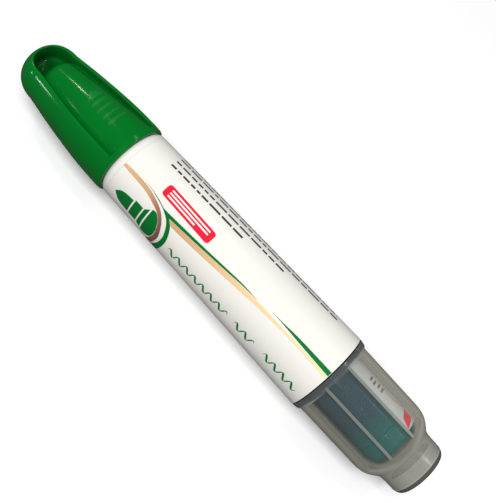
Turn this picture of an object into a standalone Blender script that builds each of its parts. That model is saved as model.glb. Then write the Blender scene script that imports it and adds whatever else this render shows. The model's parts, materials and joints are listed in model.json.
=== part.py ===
"""Refillable board marker with a hooded cap, lying on its side.

Metres, +Z up. The pen's axis runs along X, with the writing tip toward -X and the tail toward +X, and the
origin under the middle of its length, on the surface that it lies on. The dimensions below are millimetres:
x is a station along the axis counted from the middle, and r is a radius about the axis.
"""

import math

import bmesh
import bpy
from mathutils import Vector

MM = 0.001
GAP = 0.3  # clearance between neighbouring pieces
SIDES = 32  # facets round the outer shells, with a flat one underneath
SIDES_INNER = 24
SIDES_SMALL = 16

# Overall
X_CAP_END = -64.3
X_TAIL = 64.3

# Label sleeve and front barrel: a cone that widens toward the tail
X_LABEL_START = -28.6
X_LABEL_END = 34.2
R_LABEL_START = 9.2
R_LABEL_END = 10.5
LABEL_THICKNESS = 0.15
LABEL_GAP = 0.15
X_BARREL_FRONT = -30.85
R_BARREL_FRONT = 8.1
BARREL_FRONT_WALL = 1.5
R_HOLE = 5.4  # hole that the nib holder goes through
R_BARREL_BORE_FRONT = 7.75
R_BARREL_BORE_REAR = 8.55
X_THREAD_BORE = 27.0
R_THREAD_BORE = 9.35
R_FEMALE_CREST = 8.88

# Rear shell: collar, threaded spigot, ribs, round shoulder and neck
THREAD_PITCH = 2.4
THREAD_WIDTH = 0.8
X_FEMALE_THREAD = 30.6
FEMALE_TURNS = 1.0
X_MALE_THREAD = 28.2
MALE_TURNS = 2.25
R_MALE_CREST = 9.1
X_SPIGOT = 27.6
R_SPIGOT = 8.6
R_SPIGOT_BORE = 7.8
X_COLLAR = 34.5
X_COLLAR_END = 35.95
R_COLLAR = 10.5
R_COLLAR_END = 10.24
X_SHELL_START = 36.4
R_SHELL_START = 9.76
X_SHOULDER = 53.9
R_SHOULDER = 9.6
X_NECK = 59.4
R_NECK = 7.05
X_SHELL_END = 60.1
R_NECK_BORE = 5.9
SHELL_WALL = 1.15
RIBS = 8
RIB_THICKNESS = 0.6
R_RIBS = 7.95
X_RIBS_START = 35.5
X_RIBS_END = 56.0

# Tail plug
R_PLUG = 7.0
R_PLUG_END = 6.35
PLUG_CHAMFER = 1.15
R_PLUG_SKIRT = 5.6
X_PLUG_SKIRT = 56.9

# Cartridge: tube, end plug, sticker, ink, mouth seal and ball
X_CARTRIDGE_MOUTH = 8.0
R_CARTRIDGE_NECK = 3.9
R_CARTRIDGE_NECK_BORE = 3.0
X_CARTRIDGE_SHOULDER = 14.5
X_CARTRIDGE_BODY = 18.5
R_CARTRIDGE = 7.3
CARTRIDGE_WALL = 0.9
X_END_PLUG = 51.4
PLUG_SKIRT = 2.0
X_CARTRIDGE_END = 56.2
STICKER_START = 35.8
STICKER_END = 54.6
STICKER_FROM_DEG = 6.0
STICKER_TO_DEG = 150.0
STICKER_THICKNESS = 0.12
X_INK_START = 23.0
X_SEAL = 8.5
SEAL_LENGTH = 1.9
R_BALL = 1.6
X_BALL = 20.9
BALL_DROP = 4.3

# Writing end: nib, holder, wick, feed, socket and spike
X_NIB_TIP = -56.0
X_NIB_REAR = -34.0
R_NIB = 2.1
X_HOLDER_NOSE = -49.2
R_HOLDER_LAND = 4.5
X_HOLDER_REAR = -14.0
R_WICK = 0.8
X_WICK_END = 12.2
X_FEED_FRONT = -19.0
X_FEED_FLANGE = -13.7
FEED_FINS = 9
FEED_PITCH = 1.7
FIN_THICKNESS = 0.7
R_FINS = 6.5
X_SOCKET = 4.4
X_SOCKET_MOUTH = 13.6
R_SOCKET = 7.4
R_SPIKE = 1.6
X_SPIKE_TIP = 12.6
X_O_RING = 11.9
R_O_RING = 4.55
R_O_RING_TUBE = 0.42

# Cap: a round mouth, a tapering hood open front and back, and a domed sheath between its walls
X_MOUTH = -30.7
R_MOUTH = 9.6
R_MOUTH_BORE = 8.43
MOUTH_DEPTH = 1.0
X_GROOVE_START = -32.4
X_DOME = -57.4
DOME_POWER = 2.3
RIM_AT_MOUTH = 6.7  # height of the rims above the axis
RIM_AT_END = 5.0
X_POCKET_END = -62.3
POCKET_POWER = 2.5
X_NOSE = -58.8
SHEATH_WALL = 0.95
POCKET_FLOOR = 1.2  # thickness of the web that parts the front pocket from the back one
CUTTER_REACH = 14.0  # how far cutters reach, which is past the cap's outside

AXIS_HEIGHT = R_LABEL_END * math.cos(math.pi / SIDES)

# Stations of the hood's outside (x, r), of its pocket (x, half width) and of the sheath (x, half width, half
# height, squareness), which is an ellipse at squareness 2
OUTER_HOOD = ((-32.85, 9.71), (-35.6, 9.67), (-39.4, 9.5), (-43.2, 9.18), (-47.0, 8.78), (-51.0, 8.3),
              (-55.0, 7.72))
POCKET = ((X_GROOVE_START, 6.5), (-43.2, 6.1), (-51.0, 5.3), (-57.0, 4.45))
SHEATH = ((-32.0, 6.9, 9.66, 2.7), (-35.5, 6.85, 9.32, 2.5), (-39.1, 6.75, 8.8, 2.3), (-45.1, 6.4, 8.15, 2.1),
          (-51.1, 5.75, 7.1, 2.0), (-55.6, 5.2, 6.15, 2.0))


def label_radius(x):
    """Outer radius of the label sleeve, a straight cone."""
    share = (x - X_LABEL_START) / (X_LABEL_END - X_LABEL_START)
    return R_LABEL_START + share * (R_LABEL_END - R_LABEL_START)


def hood_radius(x):
    """Outer radius of the hood: straight runs between its stations, then a domed end."""
    if x <= X_DOME:
        share = min(1.0, (X_DOME - x) / (X_DOME - X_CAP_END))
        return hood_radius(X_DOME + 1e-6) * (1 - share**DOME_POWER) ** (1 / DOME_POWER)
    for (xa, ra), (xb, rb) in zip(OUTER_HOOD, OUTER_HOOD[1:]):
        if x >= xb:
            return ra + (x - xa) / (xb - xa) * (rb - ra)
    (xa, ra), (xb, rb) = OUTER_HOOD[-2:]
    return ra + (x - xa) / (xb - xa) * (rb - ra)


def rim_height(x):
    """Height above the axis of the plane that trims the hood's walls."""
    share = (x - X_GROOVE_START) / (X_CAP_END - X_GROOVE_START)
    return RIM_AT_MOUTH + share * (RIM_AT_END - RIM_AT_MOUTH)


def arc(x_from, r_from, x_to, r_to, steps, bulge_first=True):
    """Quarter-ellipse from one profile point to another, without its first point."""
    points = []
    for i in range(1, steps + 1):
        a = math.pi / 2 * i / steps
        if bulge_first:
            points.append((x_from + (x_to - x_from) * math.sin(a), r_to + (r_from - r_to) * math.cos(a)))
        else:
            points.append((x_to + (x_from - x_to) * math.cos(a), r_from + (r_to - r_from) * math.sin(a)))
    return points


def material(name, colour, roughness, metallic=0.0, alpha=1.0):
    made = bpy.data.materials.new(name)
    made.use_nodes = True
    shader = made.node_tree.nodes["Principled BSDF"]
    shader.inputs["Base Color"].default_value = (*colour, 1.0)
    shader.inputs["Roughness"].default_value = roughness
    shader.inputs["Metallic"].default_value = metallic
    shader.inputs["Alpha"].default_value = alpha
    made.diffuse_color = (*colour, alpha)
    return made


def add_object(name, bm, look, smooth_deg=35.0):
    """Closes the mesh up, lifts it onto the axis height and gives it a name and a material."""
    bmesh.ops.remove_doubles(bm, verts=bm.verts, dist=1e-5)
    bmesh.ops.recalc_face_normals(bm, faces=bm.faces)
    mesh = bpy.data.meshes.new(name)
    bm.to_mesh(mesh)
    bm.free()
    mesh.shade_smooth()
    mesh.set_sharp_from_angle(angle=math.radians(smooth_deg))
    obj = bpy.data.objects.new(name, mesh)
    bpy.context.scene.collection.objects.link(obj)
    obj.location = (0, 0, AXIS_HEIGHT * MM)
    if look:
        mesh.materials.append(look)
    return obj


def lathe_mesh(profile, sides, start_deg=0.0, sweep_deg=360.0):
    """Turns a closed outline of (x, r) points about the X axis; a full turn has a flat facet underneath."""
    bm = bmesh.new()
    full = sweep_deg == 360.0
    turn = math.radians(start_deg) if not full else math.pi / sides
    first = [bm.verts.new((x * MM, -r * MM * math.sin(turn), r * MM * math.cos(turn))) for x, r in profile]
    on_axis = [r == 0 for _, r in profile]
    edges = []
    for i in range(len(first)):
        if not (on_axis[i - 1] and on_axis[i]):
            edges.append(bm.edges.new((first[i - 1], first[i])))
    if not full:
        bm.faces.new(first)
    geometry = first + edges
    made = bmesh.ops.spin(bm, geom=geometry, cent=(0, 0, 0), axis=(1, 0, 0), angle=math.radians(sweep_deg),
                          steps=sides, use_merge=full)
    if not full:
        last = [v for v in made["geom_last"] if isinstance(v, bmesh.types.BMVert)]
        bm.faces.new(last)
    bmesh.ops.remove_doubles(bm, verts=bm.verts, dist=1e-6)
    bmesh.ops.dissolve_degenerate(bm, edges=bm.edges, dist=1e-7)
    return bm


def turned(name, profile, sides, look):
    """A turned piece from a closed outline of (x, r) points; an outline that reaches r = 0 twice is solid."""
    return add_object(name, lathe_mesh(profile, sides), look)


def guide(obj):
    """Marks an object that only shapes another one."""
    obj.hide_render = True
    obj.display_type = "WIRE"
    return obj


def combine(obj, other, operation):
    """Adds a Boolean modifier that joins another solid to this one, or cuts it away."""
    modifier = obj.modifiers.new(operation.title(), "BOOLEAN")
    modifier.operation = operation
    modifier.solver = "EXACT"
    modifier.object = guide(other)


def prism(name, outline, axis, half_depth):
    """Extrudes a plane outline both ways along Y (outline in x, z) or Z (outline in x, y)."""
    bm = bmesh.new()
    if axis == "Y":
        corners = [Vector((a, -half_depth, b)) for a, b in outline]
    else:
        corners = [Vector((a, b, -half_depth)) for a, b in outline]
    face = bm.faces.new([bm.verts.new(corner * MM) for corner in corners])
    made = bmesh.ops.extrude_face_region(bm, geom=[face])
    moved = [v for v in made["geom"] if isinstance(v, bmesh.types.BMVert)]
    along = Vector((0, 1, 0)) if axis == "Y" else Vector((0, 0, 1))
    bmesh.ops.translate(bm, verts=moved, vec=along * 2 * half_depth * MM)
    return add_object(name, bm, None)


def loft(name, sections, sides, tip=None):
    """Skins sections given as (x, half width in y, half height in z, squareness), and closes both ends."""
    bm = bmesh.new()
    rings = []
    angles = [2 * math.pi * (i + 0.5) / sides for i in range(sides)]
    for x, half_y, half_z, squareness in sections:
        ring = []
        for a in angles:
            y, z = (math.copysign(abs(v) ** (2 / squareness), v) for v in (math.sin(a), math.cos(a)))
            ring.append(bm.verts.new(Vector((x, half_y * y, half_z * z)) * MM))
        rings.append(ring)
    for ring_a, ring_b in zip(rings, rings[1:]):
        for i in range(sides):
            j = (i + 1) % sides
            bm.faces.new((ring_a[i], ring_a[j], ring_b[j], ring_b[i]))
    bm.faces.new(rings[0])
    if tip is None:
        bm.faces.new(rings[-1])
    else:
        point = bm.verts.new((tip * MM, 0, 0))
        for i in range(sides):
            bm.faces.new((rings[-1][i], rings[-1][(i + 1) % sides], point))
    return add_object(name, bm, None)


def helix_ridge(name, x_start, turns, start_turn, r_root, r_crest, steps_per_turn=SIDES):
    """A right-handed thread ridge of trapezium section, which fades in and out over a quarter turn."""
    bm = bmesh.new()
    count = round(turns * steps_per_turn)
    rings = []
    for i in range(count + 1):
        angle = 2 * math.pi * (start_turn + i / steps_per_turn)
        fade = min(1.0, (0.5 + i) / (steps_per_turn / 4), (0.5 + count - i) / (steps_per_turn / 4))
        x = x_start + THREAD_PITCH * i / steps_per_turn
        crest = r_root + (r_crest - r_root) * (0.55 + 0.45 * fade)
        half_root, half_crest = THREAD_WIDTH / 2, THREAD_WIDTH / 4
        section = ((-half_root, r_root), (-half_crest, crest), (half_crest, crest), (half_root, r_root))
        rings.append([bm.verts.new(((x + dx) * MM, -r * math.sin(angle) * MM, r * math.cos(angle) * MM))
                      for dx, r in section])
    for ring_a, ring_b in zip(rings, rings[1:]):
        for i in range(4):
            j = (i + 1) % 4
            bm.faces.new((ring_a[i], ring_a[j], ring_b[j], ring_b[i]))
    bm.faces.new(rings[0])
    bm.faces.new(rings[-1])
    return add_object(name, bm, None)


def make_o_ring(look):
    angles = [2 * math.pi * i / 8 for i in range(8)]
    section = [(X_O_RING + R_O_RING_TUBE * math.cos(a), R_O_RING + R_O_RING_TUBE * math.sin(a))
               for a in angles]
    return turned("socket_o_ring", section, SIDES_INNER, look)


def make_cap_shell(look):
    dome = [X_DOME + (X_CAP_END - X_DOME) * math.sin(math.pi / 2 * i / 6) for i in range(6)]
    outline = [(X_MOUTH, 0.0), (X_MOUTH, R_MOUTH), (-31.6, 9.7)] + list(OUTER_HOOD)
    outline += [(x, hood_radius(x)) for x in dome] + [(X_CAP_END, 0.0)]
    cap = turned("cap_shell", outline, SIDES, look)
    for side in (1, -1):
        far, high = X_CAP_END - 3, side * CUTTER_REACH
        wedge = [(X_GROOVE_START, side * rim_height(X_GROOVE_START)), (far, side * rim_height(far)),
                 (far, high), (X_GROOVE_START, high)]
        combine(cap, prism(f"rim_cutter_{side}", wedge, "Y", CUTTER_REACH), "DIFFERENCE")
    corner, half = POCKET[-1]
    end = [math.pi / 2 * i / 5 for i in range(1, 5)]
    side = list(POCKET)
    for a in end:
        x = corner + (X_POCKET_END - corner) * math.sin(a)
        side.append((x, half * (1 - math.sin(a) ** POCKET_POWER) ** (1 / POCKET_POWER)))
    pocket = side + [(X_POCKET_END, 0.0)] + [(x, -y) for x, y in reversed(side)]
    for side in (1, -1):
        cutter = prism(f"pocket_cutter_{side}", pocket, "Z", CUTTER_REACH / 2)
        cutter.location.z += side * (CUTTER_REACH + POCKET_FLOOR) / 2 * MM
        combine(cap, cutter, "DIFFERENCE")
    nose_x, nose_y, nose_z, _ = SHEATH[-1]
    nose = [(nose_x + (X_NOSE - nose_x) * math.sin(a), nose_y * math.cos(a), nose_z * math.cos(a), 2.0)
            for a in (math.pi / 2 * i / 5 for i in range(1, 5))]
    combine(cap, loft("sheath", list(SHEATH) + nose, SIDES, tip=X_NOSE), "UNION")
    hollow = [(x, y - SHEATH_WALL, z - SHEATH_WALL, 2.0) for x, y, z, _ in SHEATH]
    hollow[0] = (X_MOUTH - MOUTH_DEPTH + 0.2, hollow[0][1], R_MOUTH_BORE, 2.0)
    hollow += [(-57.0, 3.6, 4.2, 2.0), (-57.95, 2.7, 3.2, 2.0)]
    combine(cap, loft("hollow", hollow, SIDES), "DIFFERENCE")
    mouth = [(X_MOUTH - MOUTH_DEPTH, 0), (X_MOUTH - MOUTH_DEPTH, R_MOUTH_BORE), (X_MOUTH + 1, R_MOUTH_BORE),
             (X_MOUTH + 1, 0)]
    combine(cap, turned("mouth_cutter", mouth, SIDES, None), "DIFFERENCE")
    return cap


def make_inner_cap(look):
    flange = X_MOUTH - MOUTH_DEPTH
    outside = [(flange + 0.1, 8.1), (flange + 0.1, 5.5), (-40.0, 5.5), (-51.0, 4.5), (-55.6, 3.95),
               (-57.6, 2.4), (-57.6, 0.0)]
    inside = [(-56.8, 0.0), (-56.8, 2.2), (-55.2, 3.25), (-51.0, 3.8), (-40.5, 4.8), (flange + 0.5, 4.8),
              (flange + 0.5, 8.1)]
    outline = outside + inside
    return turned("inner_cap", outline, SIDES_INNER, look)


def make_nib_holder(look):
    front_wall = X_BARREL_FRONT + BARREL_FRONT_WALL
    r_shank, r_bore = R_HOLE - GAP, R_NIB + GAP
    nose = [(X_HOLDER_NOSE, r_bore), (X_HOLDER_NOSE, 2.75), (X_HOLDER_NOSE + 0.5, 3.15), (-42.0, 4.35),
            (-41.0, R_HOLDER_LAND), (X_BARREL_FRONT, R_HOLDER_LAND)]
    shank = [(X_BARREL_FRONT, r_shank), (front_wall + GAP, r_shank)]
    flange = [(front_wall + GAP, 7.3), (front_wall + 1.7, 7.3)]
    tube = [(front_wall + 1.7, 6.6), (X_HOLDER_REAR, 6.6), (X_HOLDER_REAR, 5.3), (-26.5, 5.3),
            (-27.2, r_bore)]
    outline = nose + shank + flange + tube
    return turned("nib_holder", outline, SIDES_INNER, look)


def make_nib(look):
    outline = [(X_NIB_TIP, 0.0), (X_NIB_TIP + 0.12, 0.75), (X_NIB_TIP + 0.55, 1.35), (X_NIB_TIP + 1.4, 1.8),
               (X_NIB_TIP + 2.8, R_NIB), (X_NIB_REAR, R_NIB), (X_NIB_REAR, 0.0)]
    return turned("bullet_nib", outline, SIDES_SMALL, look)


def make_wick(look):
    outline = [(X_NIB_REAR + GAP, 0.0), (X_NIB_REAR + GAP, R_WICK), (X_WICK_END, R_WICK), (X_WICK_END, 0.0)]
    return turned("ink_wick", outline, SIDES_SMALL, look)


def make_feed(look):
    bore, core = R_WICK + GAP, 2.6
    flange_back = X_FEED_FLANGE + 0.8
    outline = [(X_FEED_FRONT, bore), (X_FEED_FRONT, 4.9), (X_FEED_FLANGE, 4.9), (X_FEED_FLANGE, 6.55),
               (flange_back, 6.55), (flange_back, core)]
    x = X_FEED_FLANGE + FEED_PITCH
    for _ in range(FEED_FINS):
        outline += [(x, core), (x, R_FINS), (x + FIN_THICKNESS, R_FINS), (x + FIN_THICKNESS, core)]
        x += FEED_PITCH
    outline += [(X_SOCKET - GAP, core), (X_SOCKET - GAP, bore)]
    return turned("feed_comb", outline, SIDES_SMALL, look)


def make_feed_housing(look):
    start, end = X_FEED_FLANGE + 0.1, X_SOCKET - GAP
    r_in, r_out = R_FINS + 0.35, R_SOCKET
    outline = [(start, r_in), (start, r_out), (end, r_out), (end, r_in)]
    return turned("feed_housing", outline, SIDES_INNER, look)


def make_socket(look):
    bore = R_SPIKE + GAP
    outline = [(X_SOCKET, bore), (X_SOCKET, R_SOCKET), (X_SOCKET + 2.0, R_SOCKET), (X_SOCKET + 2.6, 6.4),
               (X_SOCKET_MOUTH, 6.4), (X_SOCKET_MOUTH, 5.2), (X_SOCKET + 2.6, 5.2), (X_SOCKET + 2.6, bore)]
    return turned("cartridge_socket", outline, SIDES_INNER, look)


def make_spike(look):
    bore = R_WICK + GAP
    foot = X_SOCKET + 0.2
    outline = [(foot, bore), (foot, R_SPIKE), (X_SPIKE_TIP - 1.0, R_SPIKE), (X_SPIKE_TIP, bore + 0.12),
               (X_SPIKE_TIP, bore)]
    return turned("ink_spike", outline, SIDES_SMALL, look)


def make_front_barrel(look):
    step = LABEL_THICKNESS + LABEL_GAP
    start = X_LABEL_START - LABEL_GAP
    r_start = label_radius(start)
    wall_back = X_BARREL_FRONT + BARREL_FRONT_WALL
    outline = [(X_BARREL_FRONT, R_HOLE), (X_BARREL_FRONT, R_BARREL_FRONT), (-30.65, 8.5), (-30.2, 8.9),
               (-29.7, r_start - 0.06), (start, r_start), (start, r_start - step),
               (X_LABEL_END, R_LABEL_END - step), (X_LABEL_END, R_THREAD_BORE),
               (X_THREAD_BORE, R_THREAD_BORE), (X_THREAD_BORE - 0.8, R_BARREL_BORE_REAR),
               (wall_back, R_BARREL_BORE_FRONT), (wall_back, R_HOLE)]
    barrel = turned("front_barrel", outline, SIDES, look)
    root = R_THREAD_BORE + 0.3
    ridge = helix_ridge("female_thread", X_FEMALE_THREAD, FEMALE_TURNS, 0.0, root, R_FEMALE_CREST)
    combine(barrel, ridge, "UNION")
    return barrel


def make_label(look):
    outline = [(X_LABEL_START, R_LABEL_START), (X_LABEL_END, R_LABEL_END),
               (X_LABEL_END, R_LABEL_END - LABEL_THICKNESS), (X_LABEL_START, R_LABEL_START - LABEL_THICKNESS)]
    return turned("label_sleeve", outline, SIDES, look)


def make_rear_shell(look):
    outer = [(X_SPIGOT, R_SPIGOT), (X_COLLAR, R_SPIGOT), (X_COLLAR, R_COLLAR), (X_COLLAR_END, R_COLLAR_END),
             (X_SHELL_START, R_SHELL_START), (X_SHOULDER, R_SHOULDER)]
    outer += arc(X_SHOULDER, R_SHOULDER, X_NECK, R_NECK + 0.1, 5)
    outer += [(X_NECK, R_NECK), (X_SHELL_END, R_NECK)]
    bore = R_SHOULDER - SHELL_WALL
    inner = [(X_SHELL_END, R_NECK_BORE), (X_NECK - 0.9, R_NECK_BORE)]
    inner += arc(X_NECK - 0.9, R_NECK_BORE, X_SHOULDER - 0.3, bore, 4, bulge_first=False)
    inner += [(X_RIBS_START, bore + 0.12), (X_RIBS_START - 0.6, R_SPIGOT_BORE), (X_SPIGOT, R_SPIGOT_BORE)]
    shell = turned("rear_shell", outer + inner, SIDES, look)
    for i in range(RIBS):
        low, high = R_RIBS, bore + 0.4
        outline = [(X_RIBS_START, low), (X_RIBS_END - 1.5, low), (X_RIBS_END, high), (X_RIBS_START, high)]
        rib = prism(f"rib_{i + 1}", outline, "Y", RIB_THICKNESS / 2)
        rib.rotation_euler.x = 2 * math.pi * i / RIBS
        combine(shell, rib, "UNION")
    ridge = helix_ridge("male_thread", X_MALE_THREAD, MALE_TURNS, 0.5, R_SPIGOT - 0.3, R_MALE_CREST)
    combine(shell, ridge, "UNION")
    return shell


def make_tail_plug(look):
    head = X_SHELL_END + 0.2
    outline = [(head, R_PLUG), (X_TAIL - PLUG_CHAMFER, R_PLUG - 0.06), (X_TAIL - 0.45, R_PLUG - 0.3),
               (X_TAIL, R_PLUG_END), (X_TAIL, 0.0), (X_TAIL - 1.3, 0.0), (X_TAIL - 1.3, 4.6),
               (X_PLUG_SKIRT, 4.8), (X_PLUG_SKIRT, R_PLUG_SKIRT), (head, R_PLUG_SKIRT)]
    return turned("tail_plug", outline, SIDES, look)


def make_cartridge_tube(look):
    bore = R_CARTRIDGE - CARTRIDGE_WALL
    outline = [(X_CARTRIDGE_MOUTH, R_CARTRIDGE_NECK_BORE), (X_CARTRIDGE_MOUTH, R_CARTRIDGE_NECK),
               (X_CARTRIDGE_SHOULDER, R_CARTRIDGE_NECK), (X_CARTRIDGE_SHOULDER + 1.2, 5.0),
               (X_CARTRIDGE_BODY, R_CARTRIDGE), (X_END_PLUG, R_CARTRIDGE), (X_END_PLUG, bore),
               (X_CARTRIDGE_BODY + 0.4, bore), (X_CARTRIDGE_SHOULDER + 1.6, 4.1),
               (X_CARTRIDGE_SHOULDER, R_CARTRIDGE_NECK_BORE)]
    return turned("cartridge_tube", outline, SIDES_INNER, look)


def make_cartridge_end_plug(look):
    start = X_END_PLUG + 0.2
    skirt = R_CARTRIDGE - CARTRIDGE_WALL - GAP
    outline = [(start, R_CARTRIDGE), (X_CARTRIDGE_END - 1.6, R_CARTRIDGE)]
    outline += arc(X_CARTRIDGE_END - 1.6, R_CARTRIDGE, X_CARTRIDGE_END, 5.9, 3)
    outline += [(X_CARTRIDGE_END, 0.0), (X_CARTRIDGE_END - 1.2, 0.0), (X_CARTRIDGE_END - 1.2, skirt - 0.8),
                (X_END_PLUG - PLUG_SKIRT, skirt - 0.8), (X_END_PLUG - PLUG_SKIRT, skirt), (start, skirt)]
    return turned("cartridge_end_plug", outline, SIDES_INNER, look)


def make_sticker(look):
    r_in = R_CARTRIDGE + LABEL_GAP
    r_out = r_in + STICKER_THICKNESS
    outline = [(STICKER_START, r_in), (STICKER_START, r_out), (STICKER_END, r_out), (STICKER_END, r_in)]
    mesh = lathe_mesh(outline, 12, start_deg=-STICKER_TO_DEG, sweep_deg=STICKER_TO_DEG - STICKER_FROM_DEG)
    return add_object("cartridge_sticker", mesh, look)


def make_ink(look):
    r = R_CARTRIDGE - CARTRIDGE_WALL - GAP
    end = X_END_PLUG - PLUG_SKIRT - GAP
    outline = [(X_INK_START, 0.0), (X_INK_START, r), (end, r), (end, 0.0)]
    return turned("cartridge_ink", outline, SIDES_INNER, look)


def make_cartridge_seal(look):
    r_in, r_out = R_SPIKE + GAP, R_CARTRIDGE_NECK_BORE - GAP
    end = X_SEAL + SEAL_LENGTH
    outline = [(X_SEAL, r_in), (X_SEAL, r_out), (end, r_out), (end, r_in)]
    return turned("cartridge_seal", outline, SIDES_SMALL, look)


def make_ball(look):
    bm = bmesh.new()
    bmesh.ops.create_icosphere(bm, subdivisions=2, radius=R_BALL * MM)
    bmesh.ops.translate(bm, verts=bm.verts, vec=Vector((X_BALL, 0.0, -BALL_DROP)) * MM)
    return add_object("stopper_ball", bm, look)


def clear_scene():
    for obj in list(bpy.data.objects):
        bpy.data.objects.remove(obj)


def main():
    clear_scene()
    green = material("green_plastic", (0.0, 0.17, 0.02), 0.22)
    white = material("white_plastic", (0.82, 0.82, 0.80), 0.35)
    film = material("label_film", (0.85, 0.85, 0.83), 0.30)
    frosted = material("frosted_plastic", (0.42, 0.43, 0.41), 0.35, alpha=0.5)
    clear = material("clear_plastic", (0.6, 0.65, 0.65), 0.2, alpha=0.4)
    fibre = material("inked_fibre", (0.01, 0.10, 0.04), 0.85)
    ink = material("green_ink", (0.01, 0.07, 0.07), 0.1)
    rubber = material("black_rubber", (0.03, 0.03, 0.03), 0.6)
    steel = material("steel", (0.6, 0.6, 0.6), 0.25, metallic=1.0)
    paper = material("sticker_paper", (0.8, 0.8, 0.78), 0.5)

    make_cap_shell(green)
    make_inner_cap(white)
    make_nib(fibre)
    make_nib_holder(white)
    make_wick(fibre)
    make_feed(white)
    make_feed_housing(clear)
    make_socket(white)
    make_spike(steel)
    make_o_ring(rubber)
    make_front_barrel(white)
    make_label(film)
    make_cartridge_tube(clear)
    make_cartridge_end_plug(clear)
    make_sticker(paper)
    make_ink(ink)
    make_cartridge_seal(rubber)
    make_ball(steel)
    make_rear_shell(frosted)
    make_tail_plug(frosted)


main()
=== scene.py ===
"""Looks of the refillable board marker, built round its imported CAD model.

Stations x run along the pen's axis in millimetres from its middle, r is a radius about that axis, and
azimuths are degrees about it, from +Z toward +Y.
"""

import json
import math
import random

import bmesh
import bpy
import numpy as np
from mathutils import Matrix, Vector


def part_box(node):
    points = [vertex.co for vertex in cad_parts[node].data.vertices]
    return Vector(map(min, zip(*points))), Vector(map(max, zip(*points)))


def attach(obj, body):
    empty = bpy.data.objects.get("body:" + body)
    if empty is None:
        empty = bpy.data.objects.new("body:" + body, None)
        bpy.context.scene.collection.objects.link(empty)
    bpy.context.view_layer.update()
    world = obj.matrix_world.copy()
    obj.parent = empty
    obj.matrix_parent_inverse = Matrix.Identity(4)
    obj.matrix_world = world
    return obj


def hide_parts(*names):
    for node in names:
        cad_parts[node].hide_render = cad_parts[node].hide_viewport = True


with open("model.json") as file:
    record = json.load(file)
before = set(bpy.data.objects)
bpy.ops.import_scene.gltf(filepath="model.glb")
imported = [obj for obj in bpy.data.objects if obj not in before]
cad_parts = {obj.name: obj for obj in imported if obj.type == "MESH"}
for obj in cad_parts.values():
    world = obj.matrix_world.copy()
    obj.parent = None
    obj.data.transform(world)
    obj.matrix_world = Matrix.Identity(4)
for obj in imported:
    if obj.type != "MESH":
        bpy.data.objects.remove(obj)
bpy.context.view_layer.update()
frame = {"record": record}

MM = 0.001
FACETS = 32  # the CAD shells' facets, which the round surfaces stay inside
FIT = math.cos(math.pi / FACETS)
STEPS = 160
CREASE_DEG = 38.0  # edges sharper than this are shaded as edges

BODY_OF = {node: body for body, nodes in frame["record"]["behaviour"]["bodies"].items() for node in nodes}
shell_low, shell_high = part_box("rear_shell")
AXIS_Z = (shell_low.z + shell_high.z) / 2

# Stations and radii that the CAD model is built on
X_CAP_END, X_TAIL = -64.3, 64.3
X_LABEL_START, X_LABEL_END = -28.6, 34.2
R_LABEL_START, R_LABEL_END = 9.2, 10.5
X_BARREL_FRONT, FRONT_WALL = -30.85, 1.5
X_MOUTH, R_MOUTH_BORE, MOUTH_DEPTH = -30.7, 8.43, 1.0
X_GROOVE_START, X_DOME, DOME_POWER = -32.1, -57.4, 2.3
RIM_AT_MOUTH, RIM_AT_END = 6.7, 5.0
X_POCKET_END, POCKET_POWER, X_NOSE, SHEATH_WALL = -62.3, 2.5, -58.8, 0.95
OUTER_HOOD = ((-55.0, 7.72), (-51.0, 8.3), (-47.0, 8.78), (-43.2, 9.18), (-39.4, 9.5), (-35.6, 9.67),
              (-32.85, 9.71), (-31.6, 9.7), (X_MOUTH, 9.6))
POCKET = ((-57.0, 4.45), (-51.0, 5.3), (-43.2, 6.1), (X_GROOVE_START, 6.5))
POCKET_FLOOR = 1.2
SHEATH = ((-55.6, 5.2, 6.15, 2.0), (-51.1, 5.75, 7.1, 2.0), (-45.1, 6.4, 8.15, 2.1), (-39.1, 6.75, 8.8, 2.3),
          (-35.5, 6.85, 9.32, 2.5), (-32.0, 6.9, 9.66, 2.7))


# ---------------------------------------------------------------- materials

def add_node(tree, kind, inputs=None, **settings):
    """Adds a shader node; an input is a value, or a socket to link from."""
    made = tree.nodes.new(kind)
    for name, value in settings.items():
        setattr(made, name, value)
    for name, value in (inputs or {}).items():
        if isinstance(value, bpy.types.NodeSocket):
            tree.links.new(value, made.inputs[name])
        else:
            made.inputs[name].default_value = value
    return made


def new_material(name):
    """A material with nothing but a Principled shader linked to its output."""
    look = bpy.data.materials.new(name)
    look.use_nodes = True
    tree = look.node_tree
    tree.nodes.clear()
    output = tree.nodes.new("ShaderNodeOutputMaterial")
    shader = tree.nodes.new("ShaderNodeBsdfPrincipled")
    tree.links.new(shader.outputs["BSDF"], output.inputs["Surface"])
    return look, tree, shader


def noise(tree, scale, detail=3.0, stretch=(1.0, 1.0, 1.0)):
    """Noise in object space, scale in cells per metre."""
    place = add_node(tree, "ShaderNodeTexCoord").outputs["Object"]
    scaled = add_node(tree, "ShaderNodeVectorMath", {0: place, 1: stretch}, operation="MULTIPLY")
    inputs = {"Vector": scaled.outputs[0], "Scale": scale, "Detail": detail}
    return add_node(tree, "ShaderNodeTexNoise", inputs).outputs["Fac"]


def ramp(tree, factor, stops):
    """Colour ramp with (place, colour) stops."""
    made = add_node(tree, "ShaderNodeValToRGB", {"Fac": factor})
    elements = made.color_ramp.elements
    while len(elements) < len(stops):
        elements.new(0.5)
    for element, (place, colour) in zip(elements, stops):
        element.position = place
        element.color = (*colour, 1.0)
    return made.outputs["Color"]


def span(tree, value, low, high, to_low=0.0, to_high=1.0):
    """Maps a range to another one."""
    made = add_node(tree, "ShaderNodeMapRange", {"Value": value, "From Min": low, "From Max": high,
                                                 "To Min": to_low, "To Max": to_high})
    return made.outputs["Result"]


def tint(colour, share):
    """A colour made lighter or darker by a share."""
    return tuple(min(1.0, c * share) for c in colour)


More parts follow.
